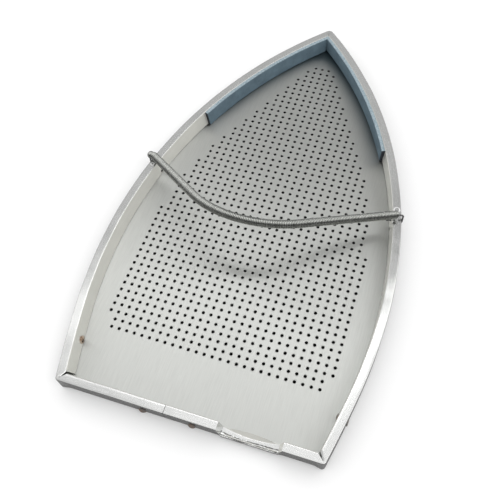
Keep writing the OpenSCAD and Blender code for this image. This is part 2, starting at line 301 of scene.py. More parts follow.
def grid_mesh(name, rows, uvs, caps=True):
    """A tube of quads from rows[station, profile point], closed round the profile and at both ends."""
    n, m, _ = rows.shape
    verts = (rows.reshape(-1, 3) * MM).tolist()
    faces, face_uv = [], []
    for i in range(n - 1):
        for j in range(m):
            k = (j + 1) % m
            faces.append((i * m + j, i * m + k, (i + 1) * m + k, (i + 1) * m + j))
            k_uv = j + 1
            face_uv.append((uvs[i, j], uvs[i, k_uv], uvs[i + 1, k_uv], uvs[i + 1, j]))
    if caps:
        faces.append(tuple(range(m))[::-1])
        face_uv.append([uvs[0, j] for j in range(m)][::-1])
        faces.append(tuple((n - 1) * m + j for j in range(m)))
        face_uv.append([uvs[n - 1, j] for j in range(m)])
    mesh = bpy.data.meshes.new(name)
    mesh.from_pydata(verts, [], faces)
    layer = mesh.uv_layers.new(name="UVMap")
    flat = np.concatenate([np.asarray(u) for u in face_uv]) * MM
    layer.data.foreach_set("uv", flat.ravel())
    obj = bpy.data.objects.new(name, mesh)
    bpy.context.scene.collection.objects.link(obj)
    return obj


def settle_mesh(obj, sharp_deg=32.0):
    """Outward normals, smooth faces, and sharp edges where the surface turns quickly."""
    bm = bmesh.new()
    bm.from_mesh(obj.data)
    bmesh.ops.remove_doubles(bm, verts=bm.verts, dist=1e-7)
    bmesh.ops.recalc_face_normals(bm, faces=bm.faces)
    limit = math.radians(sharp_deg)
    for face in bm.faces:
        face.smooth = True
    for edge in bm.edges:
        edge.smooth = len(edge.link_faces) == 2 and edge.calc_face_angle(0.0) < limit
    bm.to_mesh(obj.data)
    bm.free()


def mirror_rows(rows):
    out = rows.copy()
    out[..., 0] *= -1
    return out


def with_loop_uv(along, around):
    """UV pairs in millimetres, with one more column, so that the last quad closes without a jump."""
    n, m = along.shape
    uv = np.zeros((n, m + 1, 2))
    uv[:, :m, 0], uv[:, m, 0] = along, along[:, 0]
    uv[:, :m, 1], uv[:, m, 1] = around[:m], around[m]
    return uv


def loop_lengths(profile):
    step = np.linalg.norm(np.diff(np.vstack([profile, profile[:1]]), axis=0), axis=1)
    return np.concatenate([[0.0], np.cumsum(step)])


def arc_points(cx, cy, r, a, b, n):
    t = np.radians(np.linspace(a, b, n))
    return np.stack([cx + r * np.cos(t), cy + r * np.sin(t)], axis=1)


def densify(points, step):
    """Adds points along the long straight stretches of a closed outline."""
    out = []
    for p, q in zip(points, np.roll(points, -1, axis=0)):
        n = max(1, int(round(np.linalg.norm(q - p) / step)))
        out.extend(p + (q - p) * k / n for k in range(n))
    return np.array(out)


def channel_profile(lean=WALL_LEAN_RIGHT, step=PROFILE_STEP):
    """Closed outline of the folded channel: u inwards from the outer face, z up. Its inner wall leans in."""
    t, r, ri = RIM_T, FOLD_R, INNER_FOLD_R
    foot = Z_PLATE + WALL_LIFT
    return densify(np.vstack([
        arc_points(FOOT_R, Z_LIP + FOOT_R, FOOT_R, 270, 180, 8),
        arc_points(r, Z_TOP - r, r, 180, 90, 6),
        arc_points(WEB_W - r, Z_TOP - r, r, 90, 0, 6),
        [[WEB_W + lean, foot], [WEB_W - t + lean, foot]],
        arc_points(WEB_W - t - ri, Z_TOP - t - ri, ri, 0, 90, 3),
        arc_points(t + ri, Z_TOP - t - ri, ri, 90, 180, 3),
        [[t, Z_LIP + FOOT_R], [FOOT_R, Z_LIP + t], [LIP_W, Z_LIP + t], [LIP_W, Z_LIP]],
    ]), step)


def wobble(s, z, seed, size, wave):
    """Slow random bend of hand-folded metal, in millimetres."""
    flat = [size * noise.noise(Vector((a / wave, b / wave, seed))) for a, b in zip(s.ravel(), z.ravel())]
    return np.array(flat).reshape(s.shape)


def build_side(name, mirrored, seed):
    """One side of the channel, from the V notch to the nose's mitre, with a chamfer worn at the notch."""
    profile = channel_profile(WALL_LEAN_LEFT if mirrored else WALL_LEAN_RIGHT)
    u, z = profile[:, 0], profile[:, 1]
    t = np.concatenate([np.linspace(0, 0.012, 9), np.linspace(0.016, 1, SIDE_STATIONS)])[:, None]
    s0 = np.array([SIDE.start(v) for v in u])
    s1 = np.array([SIDE.end(v) for v in u])
    s = s0 + (s1 - s0) * t
    uu = np.broadcast_to(u, s.shape)
    zz = np.broadcast_to(z, s.shape).copy()
    from_ends = np.clip(np.minimum(s - 2, SIDE.length - 4 - s) / END_FADE, 0, 1)
    fade = from_ends * np.clip((zz - Z_PLATE) / FOOT_FADE, 0, 1)
    zz = zz + wobble(s, zz * 0, seed, WOBBLE, 17) * fade
    on_top = (uu > CORNER_R) * (zz > Z_TOP - FOLD_R - 0.01)
    zz = zz - CHAMFER_SLOPE * np.clip(CHAMFER - (s - s0), 0, None) * on_top
    x, y = SIDE.point(s, uu + wobble(s, zz, seed + 5, WOBBLE, 23) * fade)
    rows = np.stack([x, y, zz], axis=2)
    if mirrored:
        rows = mirror_rows(rows)
    return grid_mesh(name, rows, with_loop_uv(s, loop_lengths(profile)))


def bend_profile(r):
    """Outline of a tight bend's section, from its middle (u = r) out to the wall (u = 0)."""
    t, f, lip = RIM_T, FOLD_R, min(LIP_W, r)
    return densify(np.vstack([
        arc_points(FOOT_R, Z_LIP + FOOT_R, FOOT_R, 270, 180, 8),
        arc_points(f, Z_TOP - f, f, 180, 90, 6),
        [[r, Z_TOP], [r, Z_TOP - t], [t, Z_TOP - t], [t, Z_LIP + FOOT_R], [FOOT_R, Z_LIP + t]],
        [[lip, Z_LIP + t], [lip, Z_LIP]],
    ]), PROFILE_STEP)


def build_bend(name, centre, r, a, b, mirrored=False):
    """A tight bend of the channel round centre, from angle a to angle b."""
    profile = bend_profile(r)
    angles = np.linspace(a, b, 14)[:, None]
    radius = r - profile[:, 0]
    x = centre[0] + radius * np.cos(angles)
    y = centre[1] + radius * np.sin(angles)
    rows = np.stack([x, y, np.broadcast_to(profile[:, 1], x.shape)], axis=2)
    if mirrored:
        rows = mirror_rows(rows)
    return grid_mesh(name, rows, with_loop_uv(angles * r + 0 * radius, loop_lengths(profile)))


def crush(x):
    """How far the channel is pressed down at x: 0 outside the cut-out, 1 on its floor."""
    return np.clip((CUT_W / 2 - np.abs(x - CUT_X)) / CUT_RUN, 0, 1)


def pressed(x, u, z):
    """The channel's section where the press flattened it: low, bowed out and leaning to the nose."""
    low = Z_PLATE + CUT_EDGE_H
    across = np.clip(u / WEB_W, 0, 1)
    base = Z_LIP + (Z_PLATE - Z_LIP) * across
    up = np.clip((z - base) / (Z_TOP - base), 0, 1)
    curve = np.clip(2 * np.abs(x - CUT_X) / (CUT_W - 2 * CUT_RUN), 0, 1) ** 2
    top_edge = TONGUE_START + TONGUE_W / 2 * curve
    foot = TONGUE_START + TONGUE_W - TONGUE_W / 2 * curve
    inner_u = foot + up * (top_edge - foot)
    bow = np.sin(math.pi * np.clip(up * 0.95, 0, 1)) ** 0.7
    outer_u = HEEL_TUCK * (1 - up) - (HEEL_TUCK + CUT_BULGE) * bow
    new_u = (1 - across) * outer_u + across * inner_u
    # The buckled metal: short ridges along the rolled edge, deepest on its upper half.
    path = 2.2 * up + 3.2 * across
    cells = np.sin(2 * math.pi * x / 2.4 + 1.9 * np.sin(x / 1.9) + 2.6 * path)
    rows = np.sin(2 * math.pi * path * 1.15 + 0.9 * np.sin(x / 3.1))
    rolled = np.clip(up * 3.0 - 0.9, 0, 1) * np.clip(1.9 - 3.2 * across, 0, 1)
    ridge = CRUMPLE * (0.35 * cells + 0.75 * rows) * rolled
    return new_u - 0.7 * ridge, base + up * (low - base) + ridge - CRUMPLE * rolled


def heel_x_end(u):
    """Half length of the heel's metal at inset u: to the corner bend, or to the V notch's edge."""
    if u <= CORNER_R:
        return SIDE.corner[0]
    edge = SIDE.notch_a + SIDE.notch_half
    return SIDE.corner[0] + (u - CORNER_R) / math.sin(edge) * math.cos(edge)


def build_heel(name, x0, x1, seed):
    """The heel's channel from x0 to x1, with its foot tucked in and its cut-out pressed down."""
    profile = channel_profile(step=FINE_STEP if x1 > CUT_X else PROFILE_STEP)
    u, z = profile[:, 0], profile[:, 1]
    stations = list(np.arange(x0, x1, HEEL_STEP)) + [x1]
    if x1 > CUT_X:
        cut_from, cut_to = CUT_X - CUT_W / 2, CUT_X + CUT_W / 2
        stations = [s for s in stations if not cut_from - 0.3 < s < cut_to + 0.3]
        stations += list(np.linspace(cut_from, cut_to, CUT_STATIONS))
        stations += [cut_from - 0.02, cut_from + CUT_RUN, cut_to - CUT_RUN, cut_to + 0.02]
    stations = np.array(sorted(stations))[:, None]
    limit = SIDE.corner[0]
    inner = limit - 8
    ends = np.array([heel_x_end(v) for v in u])
    stretch = (np.abs(stations) - inner) * (ends - inner) / (limit - inner)
    x = np.where(np.abs(stations) > inner, np.sign(stations) * (inner + stretch), stations + 0 * ends)
    uu, zz = np.broadcast_to(u, x.shape), np.broadcast_to(z, x.shape)
    press = crush(x)
    low_u, low_z = pressed(x, uu, zz)
    fade = np.clip((limit - 3 - np.abs(x)) / 8, 0, 1) * np.clip((zz - Z_PLATE) / FOOT_FADE, 0, 1)
    fade = fade * (1 - press) * np.clip(np.abs(x - JOINT_X) / 6 + 0.3, 0, 1)
    full_z = zz + wobble(x, zz * 0, seed, WOBBLE, 15) * fade
    foot = np.clip((Z_TOP - FOLD_R - zz) / (Z_TOP - FOLD_R - Z_LIP), 0, 1) * (uu < RIM_T + 0.01)
    dent = 1 + JOINT_DENT * np.exp(-((x - JOINT_X) / JOINT_DENT_RUN) ** 2)
    tuck = HEEL_TUCK * dent * foot ** 0.8 * np.clip((limit - np.abs(x)) / 3, 0, 1)
    full_u = uu + wobble(x, zz, seed + 3, HEEL_WOBBLE, 19) * fade + tuck
    y = Y_HEEL + full_u + press * (low_u - full_u)
    rows = np.stack([x, y, full_z + press * (low_z - full_z)], axis=2)
    return grid_mesh(name, rows, with_loop_uv(x, loop_lengths(profile)))


def cut_with(obj, cutters):
    """Takes the cutters' volumes out of obj for good."""
    for cutter in cutters:
        mod = obj.modifiers.new("cut", "BOOLEAN")
        mod.object, mod.operation, mod.solver = cutter, "DIFFERENCE", "EXACT"
    graph = bpy.context.evaluated_depsgraph_get()
    mesh = bpy.data.meshes.new_from_object(obj.evaluated_get(graph))
    obj.modifiers.clear()
    obj.data = mesh
    for cutter in cutters:
        bpy.data.objects.remove(cutter)


def punch(centre, axis, d, length):
    """A round cutter along axis, in millimetres."""
    bm = bmesh.new()
    turn = Vector((0, 0, 1)).rotation_difference(Vector(axis)).to_matrix().to_4x4()
    place = Matrix.Translation(Vector(centre) * MM) @ turn
    bmesh.ops.create_cone(bm, cap_ends=True, segments=32, radius1=d / 2 * MM, radius2=d / 2 * MM,
                          depth=length * MM, matrix=place)
    mesh = bpy.data.meshes.new("punch")
    bm.to_mesh(mesh)
    bm.free()
    obj = bpy.data.objects.new("punch", mesh)
    bpy.context.scene.collection.objects.link(obj)
    return obj


def spare_punches(sign):
    """The two spare holes of one side: in the rim's top and low in its inner wall."""
    y = Y_HEEL + HINGE_AHEAD - (SPARE_BACK_RIGHT if sign > 0 else SPARE_BACK_LEFT)
    wall_x = float(SIDE.point(SIDE.at_y(y, WEB_W), WEB_W)[0])
    from_fold = SPARE_D / 4 if sign > 0 else WEB_W / 2
    top = punch((sign * (wall_x + from_fold), y, Z_TOP), (0, 0, 1), SPARE_D, 2.0)
    low = punch((sign * wall_x, y + LOW_SPARE_AHEAD, Z_PLATE + SPARE_D), (1, 0, 0), SPARE_D, 5.0)
    return [top, low]


def build_rim():
    """The whole channel as one piece, from its sides, heel halves and tight bends."""
    right = build_side("rim_right", False, 1.0)
    left = build_side("rim_left", True, 11.0)
    cut_with(right, spare_punches(1))
    cut_with(left, spare_punches(-1))
    limit = SIDE.corner[0]
    parts = [right, left,
             build_heel("rim_heel_left", -limit, JOINT_X - SEAM_GAP / 2, 21.0),
             build_heel("rim_heel_right", JOINT_X + SEAM_GAP / 2, limit, 31.0),
             build_bend("rim_nose_bend", SIDE.nose, NOSE_R, SIDE.nose_a, math.pi - SIDE.nose_a),
             build_bend("rim_corner_right", SIDE.corner, CORNER_R, -math.pi / 2, SIDE.corner_a),
             build_bend("rim_corner_left", SIDE.corner, CORNER_R, -math.pi / 2, SIDE.corner_a, True)]
    bpy.ops.object.select_all(action="DESELECT")
    for part in parts:
        part.select_set(True)
    bpy.context.view_layer.objects.active = right
    bpy.ops.object.join()
    right.name = "rim"
    settle_mesh(right, 48)
    return right


def build_strip(name, mirrored, seed):
    """Soft strip inside a nose wall: rounded edges, a slightly lumpy skin and a foot that leans in."""
    r, foot_r = STRIP_EDGE_R, STRIP_FOOT_R
    lean = STRIP_LEAN_LEFT if mirrored else STRIP_LEAN_RIGHT
    inner, outer = WEB_W + PLATE_FIT + STRIP_T, WEB_W + PLATE_FIT
    top, foot = Z_TOP + STRIP_PROUD, Z_PLATE + STRIP_GAP
    profile = densify(np.vstack([
        [[outer, foot]],
        arc_points(outer + r, top - r, r, 180, 90, 5),
        arc_points(inner - r, top - r, r, 90, 0, 5),
        arc_points(inner + lean - foot_r, foot + foot_r, foot_r, 0, -90, 6),
    ]), 0.7)
    u, z = profile[:, 0], profile[:, 1]
    start = SIDE.at_y(Y_HEEL + STRIP_START_AHEAD, WEB_W)
    ends = np.array([SIDE.end(v, PLATE_FIT / 2, 0.0) for v in u])
    s = start + (ends - start) * np.linspace(0, 1, 200)[:, None]
    uu = np.broadcast_to(u, s.shape)
    lump = wobble(s, np.broadcast_to(z * 2, s.shape), seed, STRIP_LUMP, 2.6)
    free = np.clip((uu - WEB_W) / STRIP_T, 0, 1)
    wave = STRIP_WAVE * wobble(s, s * 0, seed + 2, 1.0, 21) * (z > top - 2)
    zz = np.broadcast_to(z, s.shape) + lump * (z > top - 1) + wave
    x, y = SIDE.point(s, uu + lump * free)
    rows = np.stack([x, y, zz], axis=2)
    if mirrored:
        rows = mirror_rows(rows)
    obj = grid_mesh(name, rows, with_loop_uv(s, loop_lengths(profile)))
    settle_mesh(obj, 50)
    return obj


# Spring

def spring_spine():
    """Points along the spring's middle line from left to right, evenly spaced, in its own plane."""
    a, b = math.radians(LEFT_SLOPE), math.radians(RIGHT_SLOPE)
    hinge_x = float(SIDE.point(SIDE.at_y(Y_HEEL + HINGE_AHEAD), 0)[0])
    left_x, right_x = hinge_x + LEFT_END_OUT, hinge_x + RIGHT_END_OUT
    reach = BOW_R + END_BEND_R
    run = left_x + right_x - reach * (math.sin(a) + math.sin(b))
    rise = reach * (math.cos(a) - math.cos(b))
    left = (run * math.sin(b) + rise * math.cos(b)) / math.sin(a + b)
    right = (run * math.sin(a) - rise * math.cos(a)) / math.sin(a + b)
    pieces = [(END_BEND_R * a, 1 / END_BEND_R), (left, 0), (BOW_R * (a + b), -1 / BOW_R), (right, 0),
              (END_BEND_R * b, 1 / END_BEND_R)]
    heading, pos, out = 0.0, np.array([-left_x, 0.0]), []
    for length, bend in pieces:
        n = max(2, int(round(length / SPINE_STEP)))
        ds = length / n
        for _ in range(n):
            mid = heading + bend * ds / 2
            out.append((pos[0], pos[1], heading))
            pos = pos + ds * np.array([math.cos(mid), math.sin(mid)])
            heading += bend * ds
    out.append((pos[0], pos[1], heading))
    return np.array(out)


def build_spring(name="coil_spring"):
    """One helix of wire along the spine, drawn in to a dome at its left end, with a cap there."""
    spine = spring_spine()
    seg = np.hypot(np.diff(spine[:, 0]), np.diff(spine[:, 1]))
    length = np.concatenate([[0], np.cumsum(seg)])
    run = length[-1] - OPEN_END
    turns = round(run / COIL_PITCH)
    t = np.linspace(0, 1, turns * TURN_STATIONS + 1)
    d = t * run
    dome = np.clip(1 - d / COIL_R, 0, 1)
    coil_r = (COIL_R * np.sqrt(1 - DOME_DEPTH * dome ** 2))[:, None]
    px, pv, head = (np.interp(d, length, spine[:, k]) for k in range(3))
    side = np.stack([-np.sin(head), np.cos(head)], axis=1)
    phase = 2 * math.pi * turns * t
    tilt, turn = math.radians(SPRING_TILT), math.radians(ROW_TURN)
    line = np.array([math.cos(turn), math.sin(turn), 0.0])
    ahead = np.array([-math.sin(turn), math.cos(turn), 0.0])
    up = math.sin(tilt) * np.array([0.0, 0.0, 1.0]) - math.cos(tilt) * ahead
    across = np.cross(line, up)
    origin = np.array([0.0, Y_HEEL + HINGE_AHEAD, Z_TOP + HINGE_RISE])

    def world(p2, w):
        return origin + np.outer(p2[:, 0], line) + np.outer(p2[:, 1], up) + np.outer(w, across)

    centre = world(np.stack([px, pv], axis=1) + coil_r * np.cos(phase)[:, None] * side,
                   coil_r[:, 0] * np.sin(phase))
    tangent = np.gradient(centre, axis=0)
    tangent /= np.linalg.norm(tangent, axis=1)[:, None]
    spine_w = world(np.stack([px, pv], axis=1), px * 0)
    outward = centre - spine_w
    outward -= tangent * np.sum(outward * tangent, axis=1)[:, None]
    outward /= np.linalg.norm(outward, axis=1)[:, None]
    third = np.cross(tangent, outward)
    ang = np.linspace(0, 2 * math.pi, WIRE_SIDES, endpoint=False)
    rows = centre[:, None, :] + WIRE_D / 2 * (np.cos(ang)[None, :, None] * outward[:, None, :]
                                              + np.sin(ang)[None, :, None] * third[:, None, :])
    wire_run = phase[:, None] * COIL_R + 0 * ang
    obj = grid_mesh(name, rows, with_loop_uv(wire_run, np.append(ang, 2 * math.pi) * WIRE_D / 2))
    settle_mesh(obj, 80)
    bm = bmesh.new()
    bm.from_mesh(obj.data)
    cap = Matrix.Translation(Vector(spine_w[0]) * MM)
    verts = bmesh.ops.create_icosphere(bm, subdivisions=3, radius=CAP_R * MM, matrix=cap)["verts"]
    for face in {face for v in verts for face in v.link_faces}:
        face.smooth = True
    bm.to_mesh(obj.data)
    bm.free()
    return obj


def add_head(bm, centre, axis, d, h, seed):
    """A hammered rivet head: a low dome with an uneven edge, standing on the metal along axis."""
    head = bmesh.ops.create_uvsphere(bm, u_segments=40, v_segments=20, radius=1.0)["verts"]
    for v in head:
        v.co.z = max(v.co.z, HEAD_FOOT)
        swell = 1 + 0.16 * noise.noise(v.co * 1.3 + Vector((seed, 0, 0)))
        swell += 0.08 * noise.noise(v.co * 4 + Vector((0, seed, 0)))
        pit = math.exp(-((v.co.x - PIT_AT) / PIT_SIZE[0]) ** 2 - (v.co.y / PIT_SIZE[1]) ** 2)
        pit = pit if v.co.z > 0 else 0
        height = v.co.z * h * swell * (1 - PIT_DEPTH * pit)
        v.co = Vector((v.co.x * d / 2 * swell, v.co.y * d / 2 * swell, height)) * MM
        # Faces deep in the pit take the second material: near-black painted shade.
        if pit > PIT_EDGE:
            for face in v.link_faces:
                face.material_index = 1
    turn = Vector((0, 0, 1)).rotation_difference(Vector(axis)).to_matrix().to_4x4()
    bmesh.ops.transform(bm, matrix=Matrix.Translation(Vector(centre) * MM) @ turn, verts=head)


def build_side_rivet(name, sign, lean, head_d, head_h, seed):
    """A rivet through one side of the rim, with a head on its outer and on its leaning inner wall."""
    s = SIDE.at_y(Y_HEEL + SIDE_RIVET_AHEAD)
    z = Z_PLATE + SIDE_RIVET_Z
    drop = (Z_TOP - z) / (Z_TOP - Z_PLATE)
    ox, oy = (float(v) for v in SIDE.point(s, 0.0))
    ix, iy = (float(v) for v in SIDE.point(s, WEB_W + lean * drop))
    tilt = lean / (Z_TOP - Z_PLATE)
    bm = bmesh.new()
    add_head(bm, (sign * ox, oy, z), (sign, 0, 0), head_d, head_h, seed)
    add_head(bm, (sign * ix, iy, z), (-sign, 0, tilt), head_d, head_h, seed + 7)
    mesh = bpy.data.meshes.new(name)
    bm.to_mesh(mesh)
    bm.free()
    obj = bpy.data.objects.new(name, mesh)
    bpy.context.scene.collection.objects.link(obj)
    settle_mesh(obj, 60)
    return obj


def hole_centres():
    """Centres of the plate's holes, by the same rule as in the solid model."""
    rows = round((RIM_LENGTH - NOSE_MARGIN - FIRST_ROW_AHEAD) / HOLE_PITCH) - 2
    turn, out = math.radians(ROW_TURN), []
    for row in range(rows):
        ahead = FIRST_ROW_AHEAD + row * HOLE_PITCH
        sag = (ahead - HOLE_WIDEST_AHEAD) ** 2 / (2 * SIDE.r)
        half = min(WIDTH / 2 - SIDE_MARGIN - sag, (RIM_LENGTH - NOSE_MARGIN - ahead) / 2)
        n = int(half / HOLE_PITCH + 0.001)
        for i in range(-n, n + 1):
            a, b = i * HOLE_PITCH, row * HOLE_PITCH
            x = a * math.cos(turn) - b * math.sin(turn)
            y = Y_HEEL + FIRST_ROW_AHEAD + a * math.sin(turn) + b * math.cos(turn)
            out.append((x, y))
    return out


def build_hole_lips(name="punched_lips"):
    """Each punched hole's wall and a ring round it, both near-black painted shade, and a low raised lip,
    uneven as the punch left it.
    """
    hole_r = HOLE_D / 2
    section = [(hole_r - 0.015, -Z_PLATE), (hole_r - 0.015, 0.03), (hole_r, 0.04),
               (hole_r + 0.08, LIP_H), (hole_r + 0.18, 0.05), (hole_r + 0.28, -0.02)]
    count = len(section)
    verts, faces = [], []
    for x, y in hole_centres():
        first = len(verts)
        uneven = 0.75 + 0.5 * noise.noise(Vector((x * 0.9, y * 0.9, 3.0)))
        shade_ring = np.interp(y, HOLE_SHADE_RING_Y, HOLE_SHADE_RING)
        for k in range(LIP_SIDES):
            a = 2 * math.pi * k / LIP_SIDES
            swell = uneven * (1 + LIP_UNEVEN * math.sin(a + 0.4 * x + 0.7 * y))
            for ring, (ring_r, h) in enumerate(section):
                r = ring_r + (shade_ring if ring >= DARK_RINGS else 0)
                z = Z_PLATE + (h * swell if h > 0 else h)
                verts.append(((x + r * math.cos(a)) * MM, (y + r * math.sin(a)) * MM, z * MM))
        for k in range(LIP_SIDES):
            here, there = first + k * count, first + (k + 1) % LIP_SIDES * count
            faces.extend((here + j, here + j + 1, there + j + 1, there + j) for j in range(count - 1))
    mesh = bpy.data.meshes.new(name)
    mesh.from_pydata(verts, [], faces)
    obj = bpy.data.objects.new(name, mesh)
    bpy.context.scene.collection.objects.link(obj)
    # The wall and the ring next to it take the second material: near-black painted shade.
    for poly in mesh.polygons:
        poly.use_smooth = True
        poly.material_index = 1 if poly.index % (count - 1) < DARK_RINGS else 0
    return obj


def build_burr(name, x, y, ring_r, thick):
    """A raised, uneven ring of metal pushed up round a punched place in the rim's top."""
    sides, across = 36, 10
    rows = np.zeros((sides + 1, across, 3))
    for i in range(sides + 1):
        a = 2 * math.pi * i / sides
        h = thick * (0.8 + 0.35 * math.sin(a - 0.5))
        for j in range(across):
            b = 2 * math.pi * j / across
            r = ring_r + thick * math.cos(b)
            rows[i, j] = (x + r * math.cos(a), y + r * math.sin(a), Z_TOP - 0.04 + h * math.sin(b))
    obj = grid_mesh(name, rows, np.zeros((sides + 1, across + 1, 2)), caps=False)
    settle_mesh(obj, 80)
    return obj


# Materials

class Tree:
    """Short names for building a node tree."""

    def __init__(self, tree):
        self.tree = tree

    def add(self, kind, inputs=None, **settings):
        node = self.tree.nodes.new(kind)
        for key, value in settings.items():
            setattr(node, key, value)
        for key, value in (inputs or {}).items():
            self.put(node.inputs[key], value)
        return node

    def put(self, socket, value):
        if hasattr(value, "is_linked"):
            self.tree.links.new(value, socket)
        else:
            socket.default_value = value

    def split(self, vector):
        return self.add("ShaderNodeSeparateXYZ", {"Vector": vector}).outputs

    def ramp(self, fac, lo, hi, a, b, kind="LINEAR"):
        """Maps fac from lo..hi to a..b."""
        inputs = {"Value": fac, "From Min": lo, "From Max": hi, "To Min": a, "To Max": b}
        return self.add("ShaderNodeMapRange", inputs, interpolation_type=kind).outputs["Result"]

    def math(self, operation, a, b=0.0):
        return self.add("ShaderNodeMath", {0: a, 1: b}, operation=operation).outputs[0]


class Nodes(Tree):
    """A new material's node tree."""

    def __init__(self, name):
        self.mat = bpy.data.materials.new(name)
        self.mat.use_nodes = True
        super().__init__(self.mat.node_tree)
        self.shader = self.tree.nodes["Principled BSDF"]

    def set(self, **inputs):
        for key, value in inputs.items():
            self.put(self.shader.inputs[key.replace("_", " ")], value)

    def coords(self, scale, kind="Object"):
        source = self.add("ShaderNodeTexCoord").outputs[kind]
        return self.add("ShaderNodeMapping", {"Vector": source, "Scale": scale}).outputs["Vector"]

    def noise(self, vector, scale=1.0, detail=4.0, rough=0.55):
        inputs = {"Vector": vector, "Scale": scale, "Detail": detail, "Roughness": rough}
        return self.add("ShaderNodeTexNoise", inputs).outputs["Fac"]

    def mix(self, fac, a, b):
        return self.add("ShaderNodeMix", {0: fac, 6: a, 7: b}, data_type="RGBA").outputs[2]

    def bump(self, height, strength, distance):
        inputs = {"Height": height, "Strength": strength, "Distance": distance}
        return self.add("ShaderNodeBump", inputs).outputs["Normal"]


def grey(v, warm=0.0):
    return (v * (1 + warm), v, v * (1 - warm), 1.0)


def rim_metal():
    """Soft aluminium drawn through rollers: faint lines along its length, small dents and scuffs."""
    n = Nodes("rim_aluminium")
    lines = n.noise(n.coords((90, 4200, 1), "UV"), 1.0, 3.0)
    cloud = n.noise(n.coords((70, 70, 70)), 1.0, 3.0)
    speck = n.noise(n.coords((1500, 1500, 1500)), 1.0, 2.0)
    tone = n.math("ADD", n.ramp(lines, 0.3, 0.7, -0.05, 0.05), n.ramp(cloud, 0.3, 0.7, 0.93, 1.0))
    dark = n.ramp(speck, 0.70, 0.78, 0.0, 0.35)
    base = n.mix(tone, grey(0.0), (0.685, 0.69, 0.68, 1))
    # The cut-out's leaning tongue and the inward walls mirror less than the rest. The inward walls also get a
    # warmer, lighter base colour; the lightness is painted light that brightens these walls.
    place = n.split(n.add("ShaderNodeTexCoord").outputs["Object"])
    from_cut = n.math("ABSOLUTE", n.math("SUBTRACT", place["X"], CUT_X * MM))
    inside = n.math("LESS_THAN", from_cut, (CUT_W / 2 - CUT_RUN) * MM)
    behind = n.math("GREATER_THAN", place["Y"], (Y_HEEL + TONGUE_START) * MM)
    tongue = n.math("MULTIPLY", n.math("MULTIPLY", inside, behind), n.ramp(place["Y"], 0.0, -0.01, 0.0, 1.0))
    normal = n.add("ShaderNodeNewGeometry").outputs
    facing = n.add("ShaderNodeVectorMath", {0: normal["Normal"], 1: normal["Position"]},
                   operation="DOT_PRODUCT")
    inward = n.math("LESS_THAN", facing.outputs["Value"], -0.02)
    dull = n.math("MULTIPLY", inward, 0.55)
    dull = n.math("MAXIMUM", dull, n.math("MULTIPLY", tongue, 0.7))
    # Inward walls: a warmer, lighter base colour, its lightness painted light.
    base = n.mix(inward, base, n.mix(tone, grey(0.0), (0.72, 0.715, 0.67, 1)))
    n.set(Base_Color=n.mix(dark, base, grey(0.25)), Metallic=n.math("SUBTRACT", 0.95, dull))
    n.set(Roughness=n.ramp(cloud, 0.3, 0.7, 0.15, 0.21))
    height = n.math("ADD", n.math("MULTIPLY", lines, 0.5), n.ramp(cloud, 0.2, 0.8, 0.0, 1.5))
    n.set(Normal=n.bump(height, 0.30, 0.00006))
    return n.mat


def torn_metal():
    """Freshly torn aluminium: pale and dull."""
    n = Nodes("torn_aluminium")
    grain = n.noise(n.coords((2200, 2200, 2200)), 1.0, 3.0)
    n.set(Base_Color=n.mix(grain, grey(0.70), grey(0.86)), Metallic=0.35, Roughness=0.45)
    n.set(Normal=n.bump(grain, 0.5, 0.0001))
    return n.mat


def plate_metal():
    """Brushed aluminium: the lines run from heel to nose, and blur what it mirrors from side to side."""
    n = Nodes("plate_aluminium")
    lines = n.noise(n.coords((1900, 90, 1)), 1.0, 4.0, 0.6)
    fine = n.noise(n.coords((5200, 260, 1)), 1.0, 2.0)
    cloud = n.noise(n.coords((30, 22, 30)), 1.0, 3.0)
    tone = n.math("ADD", n.ramp(lines, 0.3, 0.7, -0.045, 0.045), n.ramp(cloud, 0.3, 0.7, 0.94, 1.0))
    # Painted shade beside the strips, by the distance from the tray's side, growing towards the nose.
    place = n.split(n.add("ShaderNodeNewGeometry").outputs["Position"])
    from_x = n.math("ADD", n.math("ABSOLUTE", place["X"]), -SIDE.c[0] * MM)
    from_y = n.math("ADD", place["Y"], -SIDE.c[1] * MM)
    square = n.math("ADD", n.math("MULTIPLY", from_x, from_x), n.math("MULTIPLY", from_y, from_y))
    inset = n.math("SUBTRACT", SIDE.r * MM, n.math("SQRT", square))
    near = n.ramp(inset, 0.0070, 0.0160, 1.0, 0.0)
    near = n.math("MULTIPLY", n.math("MULTIPLY", near, near), n.ramp(place["Y"], 0.028, 0.055, 0.0, 0.85))
    # The plate's own tone, and the blue-grey painted shade that replaces it beside the strips.
    unshaded = n.mix(tone, grey(0.0), (0.64, 0.65, 0.625, 1))
    n.set(Base_Color=n.mix(near, unshaded, (0.16, 0.19, 0.205, 1)), Metallic=1.0)
    n.set(Roughness=n.ramp(cloud, 0.3, 0.7, 0.41, 0.45), Anisotropic=1.0)
    side = n.add("ShaderNodeVectorTransform", vector_type="VECTOR", convert_from="OBJECT", convert_to="WORLD")
    side.inputs["Vector"].default_value = (1, 0, 0)
    n.set(Tangent=side.outputs[0])
    height = n.math("ADD", lines, n.math("MULTIPLY", fine, 0.6))
    n.set(Normal=n.bump(height, 0.30, 0.00003))
    return n.mat


def hole_shade():
    """Dull, near-black painted shade: the punched holes' walls, the rings round them and the rivet heads'
    pits.
    """
    n = Nodes("hole_painted_shade")
    grain = n.noise(n.coords((2600, 2600, 2600)), 1.0, 3.0)
    n.set(Base_Color=n.mix(n.ramp(grain, 0.3, 0.7, 0, 1), grey(0.012), grey(0.035)))
    n.set(Metallic=0.0, Roughness=0.9, Specular_IOR_Level=0.1)
    return n.mat


